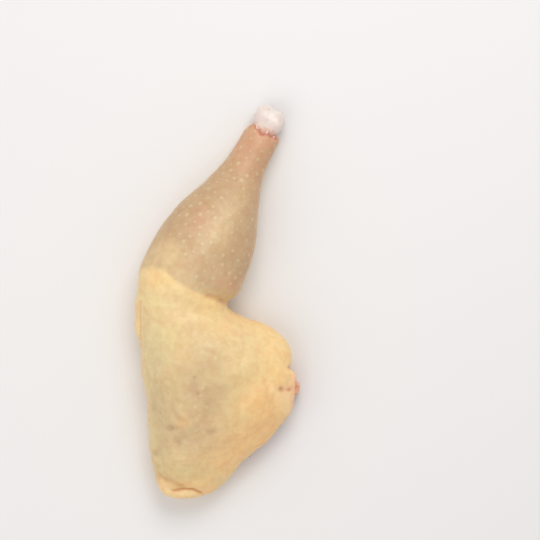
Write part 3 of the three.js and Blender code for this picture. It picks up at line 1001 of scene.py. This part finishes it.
def strand_tree():
    """Sweeps round strands along a mesh's edges, as thick as its points say, with closed ends."""
    kinds = {"Geometry": "Geometry", "Sides": "Int", "Material": "Material"}
    tree, recipe, given = new_tree("Strands", kinds)
    swept = recipe.node("GeometryNodeCurveToMesh", {}, {
        "Curve": recipe.node("GeometryNodeMeshToCurve", {}, {"Mesh": given["Geometry"]}),
        "Profile Curve": recipe.node("GeometryNodeCurvePrimitiveCircle", {},
                                     {"Resolution": given["Sides"], "Radius": 1.0}),
        "Scale": recipe.node("GeometryNodeInputNamedAttribute", {}, {"Name": "thick"}),
        "Fill Caps": True,
    })
    finish_tree(recipe, swept, given["Material"])
    return tree


def run_tree(name, mesh, tree, values):
    """The mesh that a node tree makes of another, with the tree's inputs set by name."""
    holder = add_object(name + "_base", mesh)
    modifier = holder.modifiers.new(name, "NODES")
    modifier.node_group = tree
    for item in tree.interface.items_tree:
        if item.in_out == "INPUT" and item.name in values:
            modifier[item.identifier] = values[item.name]
    made = baked(holder, name)
    holder.modifiers.remove(modifier)
    bpy.data.objects.remove(holder)
    return made


class MakeBumps(bpy.types.Operator):
    """Scatters the feather follicles over the skin and lumps of fat under its overhang"""

    bl_idname = "leg_quarter.bumps"
    bl_label = "Follicles and fat"

    def execute(self, context):
        follicle, meat = context.scene.leg_follicles, context.scene.leg_meat
        skin = skin_object()
        tree = bump_tree()
        look = skin.data.materials[0]
        kinds = {
            "follicles": ("follicle", follicle.spacing, follicle.radius, follicle.height, 0.5),
            "fat_lumps": ("lump", 1.3 * meat.bead, meat.bead, 0.55 * meat.bead, 0.45),
        }
        for name, (layer, spacing, radius, height, smallest) in kinds.items():
            made = run_tree(name, skin.data, tree, {
                "Spacing": spacing,
                "Density": 3 / spacing**2,
                "Radius": radius,
                "Height": height,
                "Smallest": smallest,
                "Layer": layer,
                "Seed": follicle.seed,
                "Material": look,
            })
            finish_piece(name, made, look, "skin")
        return {"FINISHED"}


class Tuft(NamedTuple):
    """Strands side by side: first and last root and way, count, size and relative thickness."""

    roots: tuple
    ways: tuple
    count: int
    size: float
    thick: float


def strand_mesh(tufts, half, seed):
    """Polylines along wandering strands, with the thickness at each of their points."""
    chance = random.Random(seed)
    steps = 6
    places, edges, thick = [], [], []
    for tuft in tufts:
        for n in range(tuft.count):
            share = (n + chance.random()) / tuft.count
            spot = Vector(tuft.roots[0]).lerp(Vector(tuft.roots[1]), share)
            way = Vector(tuft.ways[0]).lerp(Vector(tuft.ways[1]), share).normalized()
            size = tuft.size * chance.uniform(0.5, 1.1)
            full = half * tuft.thick * chance.uniform(0.7, 1.2)
            for k in range(steps + 1):
                if k:
                    edges.append((len(places) - 1, len(places)))
                places.append((spot + Vector(ZERO)) * MM)
                thick.append(full * (1 - 0.5 * (k / steps) ** 3) * chance.uniform(0.85, 1.15))
                way = (way + Vector([chance.uniform(-0.4, 0.4) for _ in range(3)])).normalized()
                spot = spot + way * size / steps
                spot.z = max(spot.z, full / MM + 0.1)
    mesh = bpy.data.meshes.new("strand_lines")
    mesh.from_pydata(places, edges, [])
    mesh.attributes.new("thick", "FLOAT", "POINT").data.foreach_set("value", thick)
    return mesh


def beside(start, way, along, right, height):
    """The place at those distances along and to the right of a line seen from above."""
    x = start[0] + along * way[0] + right * way[1]
    return x, start[1] + along * way[1] - right * way[0], height


class MakeStrands(bpy.types.Operator):
    """Makes the tendon ends round the hock and the shreds of meat at the cut"""

    bl_idname = "leg_quarter.strands"
    bl_label = "Tendons and shreds"

    def execute(self, context):
        meat = context.scene.leg_meat
        tree = strand_tree()
        tendons = []
        for degrees in range(25, 360, 48):
            across, up = math.cos(math.radians(degrees)), math.sin(math.radians(degrees))
            root = beside(CALF, SHANK_WAY, SKIN_END - 4, 6.7 * across, SHANK_HEIGHT + 6.2 * up)
            way = beside(SHANK_WAY, SHANK_WAY, 0, 0.25 * across, 0.25 * up)
            tendons.append(Tuft((root, root), (way, way), 1, 5.4, 2.2))
        cut_way = way_between(CUT_FROM, CUT_TO)
        outwards = cut_outwards()
        down = (*(0.3 * outwards), -1)

        def at_cut(*offsets):
            return beside(CUT_FROM, cut_way, *offsets)

        shreds = [
            Tuft((at_cut(9, -1, 14), at_cut(36, -1, 14)), (down, down), 8, 5, 0.7),
            Tuft((at_cut(3, 0, 9.6), at_cut(8, -2.4, 6)),
                 ((*cut_way, 0.4), (*cut_way, -0.4)), 5, 3.4, 2),
            Tuft(((40.2, -44.6, 17), (40.6, -48.8, 16)),
                 ((1, 0.5, -0.5), (0.8, -0.3, -0.8)), 9, 4, 1.3),
            Tuft((at_cut(46, 2, 4), at_cut(50, 2, 9)),
                 ((*cut_way, -0.3), (*outwards, -0.3)), 5, 3.2, 1),
        ]
        kinds = {
            "tendon_ends": (tendons, linear(meat.sinew), linear(meat.tendon), "cartilage"),
            "meat_shreds": (shreds, linear(meat.shred_pale), linear(meat.shred_red), "skin"),
        }
        for name, (tufts, pale, deep, slot) in kinds.items():
            look = material(name, lambda recipe: {
                "Base Color": recipe.mix(recipe.patches(0.4, 0.65, 2, 2), pale, deep),
                "Roughness": recipe.noise(1.5, 2) * 0.2 + 0.26,
                "Coat Weight": 0.25,
                "Coat Roughness": 0.2,
                "Normal": recipe.bump(recipe.noise(0.5, 2), 0.15),
            })
            lines = strand_mesh(tufts, meat.shred, 7)
            made = run_tree(name, lines, tree, {"Sides": 8, "Material": look})
            finish_piece(name, made, look, slot)
        return {"FINISHED"}


# The bones


def bone_fill(recipe, bone):
    """Bone with bloody patches, its marrow, its cartilage, and the torn meat that clings to it."""
    names = ("marrow", "cartilage", "torn")
    marrow, cartilage, torn = (recipe.layer(name) for name in names)
    pores = recipe.step(recipe.cells(0.8), 0.15, 0.5)
    red = recipe.mix(pores, linear(bone.marrow), linear(bone.pale_marrow))
    bloody = recipe.patches(0.4, 0.66, 2.5, 3) * 0.7
    wall = recipe.mix(bloody, linear(bone.bone), linear(bone.bloody))
    pink = recipe.patches(0.4, 0.62, 5, 2) * 0.7
    pearl = recipe.mix(pink, linear(bone.cartilage), linear(bone.pearl))
    base = recipe.mix(cartilage, recipe.mix(marrow, wall, red), pearl)
    clear = 1 - recipe.step(cartilage, 0.8, 1)
    film = recipe.patches(0.52, 0.62, 5, 3, 0.6, 0.8) * clear * 0.75
    bits = recipe.patches(0.4, 0.62, 1.8, 3)
    flesh = recipe.mix(bits, linear(bone.torn), linear(bone.torn_red))
    base = recipe.mix(recipe.math("MAXIMUM", torn, film), base, flesh)
    return {
        "Base Color": base,
        "Roughness": recipe.noise(1.5, 2) * 0.2 + 0.32,
        "Coat Weight": 0.3,
        "Coat Roughness": 0.2,
        "Subsurface Weight": 0.1,
        "Subsurface Radius": (1.0, 0.5, 0.35),
        "Subsurface Scale": 1.5 * MM,
        "Normal": recipe.bump(pores * marrow + recipe.noise(0.5, 2) * 0.3, 0.25),
    }


class MakeBackBone(bpy.types.Operator):
    """Makes the split back bone with its marrow, discs and channel"""

    bl_idname = "leg_quarter.back_bone"
    bl_label = "Back bone"

    def execute(self, context):
        bone = context.scene.leg_bone
        form = fine_copy("back_bone", bone.cell)
        form.relax(8)
        along, outwards = beside_cut(form.places)
        sawn = facing_cut(form) & (np.abs(outwards - 1.3) < 0.6) & (along > TORN_END)
        inset = form.zeros()
        inset[sawn] = distance_to(form.places[~sawn], form.places[sawn])
        wander = 2.2 * form.waves(12, 19) + 0.6 * form.waves(3.5, 0)
        disc = smooth_step(-np.cos(2 * np.pi * along / VERTEBRA_PITCH + wander), 0.8, 0.98)
        inside = smooth_step(inset + 0.9 * form.waves(3, 6), 0.6, 1.3)
        marrow = inside * (1 - disc)
        off_channel = form.places[:, 2] - CHANNEL_HEIGHT + 0.7 * form.waves(6, 27)
        channel = np.exp(-((off_channel / 0.8) ** 2)) * inside
        lumps = 0.3 * form.waves(2.6, 4) + 0.15 * form.waves(1.2, 7)
        form.push(lumps * (1 - 0.6 * sawn) + 0.25 * disc * inside - 0.25 * marrow - 0.8 * channel)
        form.keep_layer("marrow", form.soften(marrow, 1))
        form.keep_layer("cartilage", 0.75 * form.soften(np.maximum(disc, channel), 1))
        form.keep_layer("torn", 1 - smooth_step(along + form.waves(2.5, 33), 6, 8))
        look = material("sawn_bone", bone_fill, bone)
        finish_piece("split_back_bone", form.mesh, look, "cut_bone", "back_bone")
        return {"FINISHED"}


class MakeHockJoint(bpy.types.Operator):
    """Makes the bare joint at the end of the shank"""

    bl_idname = "leg_quarter.hock_joint"
    bl_label = "Hock joint"

    def execute(self, context):
        bone = context.scene.leg_bone
        form = fine_copy("hock_joint", bone.cell)
        form.relax(16)
        along, _ = beside_shank(form.places)
        head = smooth_step(along + form.waves(4, 0), 82, 87)
        form.push(0.16 * form.waves(3, 2) * head + 0.3 * form.waves(3, 5) * (1 - head))
        form.keep_layer("marrow", 0.5 * (1 - head) * smooth_step(form.waves(3, 9), -0.3, 0.3))
        form.keep_layer("cartilage", head)
        look = material("wet_cartilage", bone_fill, bone)
        finish_piece("hock_knuckles", form.mesh, look, "cartilage", "hock_joint")
        return {"FINISHED"}


# The stage


class SetStage(bpy.types.Operator):
    """Lays the floor, hangs the soft lights and sets the camera straight above"""

    bl_idname = "leg_quarter.stage"
    bl_label = "Stage"

    def execute(self, context):
        settings = context.scene.leg_stage
        mesh = bpy.data.meshes.new("floor")
        half = 2.5
        corners = [(-half, -half, 0), (half, -half, 0), (half, half, 0), (-half, half, 0)]
        mesh.from_pydata(corners, [], [(0, 1, 2, 3)])
        floor = add_object("floor", mesh)
        mesh.materials.append(material("pale_floor", lambda recipe: {
            "Base Color": linear(settings.floor),
            "Roughness": 0.7,
        }))
        add_light("key", (0.15, 0.58, 0.8), 0.6, settings.key_power)
        add_light("fill", (-0.45, -0.4, 0.85), 0.9, settings.fill_power)
        world = bpy.data.worlds.new("surroundings")
        world.use_nodes = True
        air = world.node_tree.nodes["Background"].inputs
        air["Color"].default_value = (1, 1, 1, 1)
        air["Strength"].default_value = settings.air
        context.scene.world = world
        context.scene.view_settings.view_transform = "Standard"
        add_camera(context.scene)
        return {"FINISHED"}


def add_light(name, at, size, watts):
    light = bpy.data.lights.new(name, "AREA")
    light.size = size
    light.energy = watts
    lamp = add_object(name, light)
    lamp.location = at
    lamp.rotation_euler = (-lamp.location).to_track_quat("-Z", "Y").to_euler()


def add_camera(scene):
    """Looks straight down on the middle of the photograph, at the photograph's scale."""
    camera = bpy.data.cameras.new("camera")
    holder = add_object("camera", camera)
    span = PHOTO_WIDTH * PIXEL * MM
    reach = 2.0  # from the camera to the height of the leg's widest outline
    waist = 0.016  # that height
    middle = ZERO[:2] + PHOTO_MIDDLE
    holder.location = (middle[0] * MM, middle[1] * MM, reach + waist)
    camera.sensor_width = 36
    camera.lens = camera.sensor_width * reach / span
    scene.camera = holder


OPERATORS = [MakeSkin, MakeBumps, MakeBackBone, MakeHockJoint, MakeStrands, SetStage]


class LegPanel(bpy.types.Panel):
    """Lists the pieces of the leg quarter with their sizes and colours"""

    bl_idname = "VIEW3D_PT_leg_quarter"
    bl_label = "Leg quarter"
    bl_space_type = "VIEW_3D"
    bl_region_type = "UI"
    bl_category = "Leg quarter"

    def draw(self, context):
        for operator in OPERATORS:
            self.layout.operator(operator.bl_idname)
        for name, group in SETTINGS.items():
            box = self.layout.box()
            for setting in group.__annotations__:
                box.prop(getattr(context.scene, name), setting)


def register():
    for kind in [*SETTINGS.values(), *OPERATORS, LegPanel]:
        bpy.utils.register_class(kind)
    for name, group in SETTINGS.items():
        setattr(bpy.types.Scene, name, PointerProperty(type=group))


def unregister():
    for name in SETTINGS:
        delattr(bpy.types.Scene, name)
    for kind in reversed([*SETTINGS.values(), *OPERATORS, LegPanel]):
        bpy.utils.unregister_class(kind)


def main():
    """Makes every piece."""
    register()
    for operator in OPERATORS:
        group, name = operator.bl_idname.split(".")
        getattr(getattr(bpy.ops, group), name)()


if __name__ == "__main__":
    main()
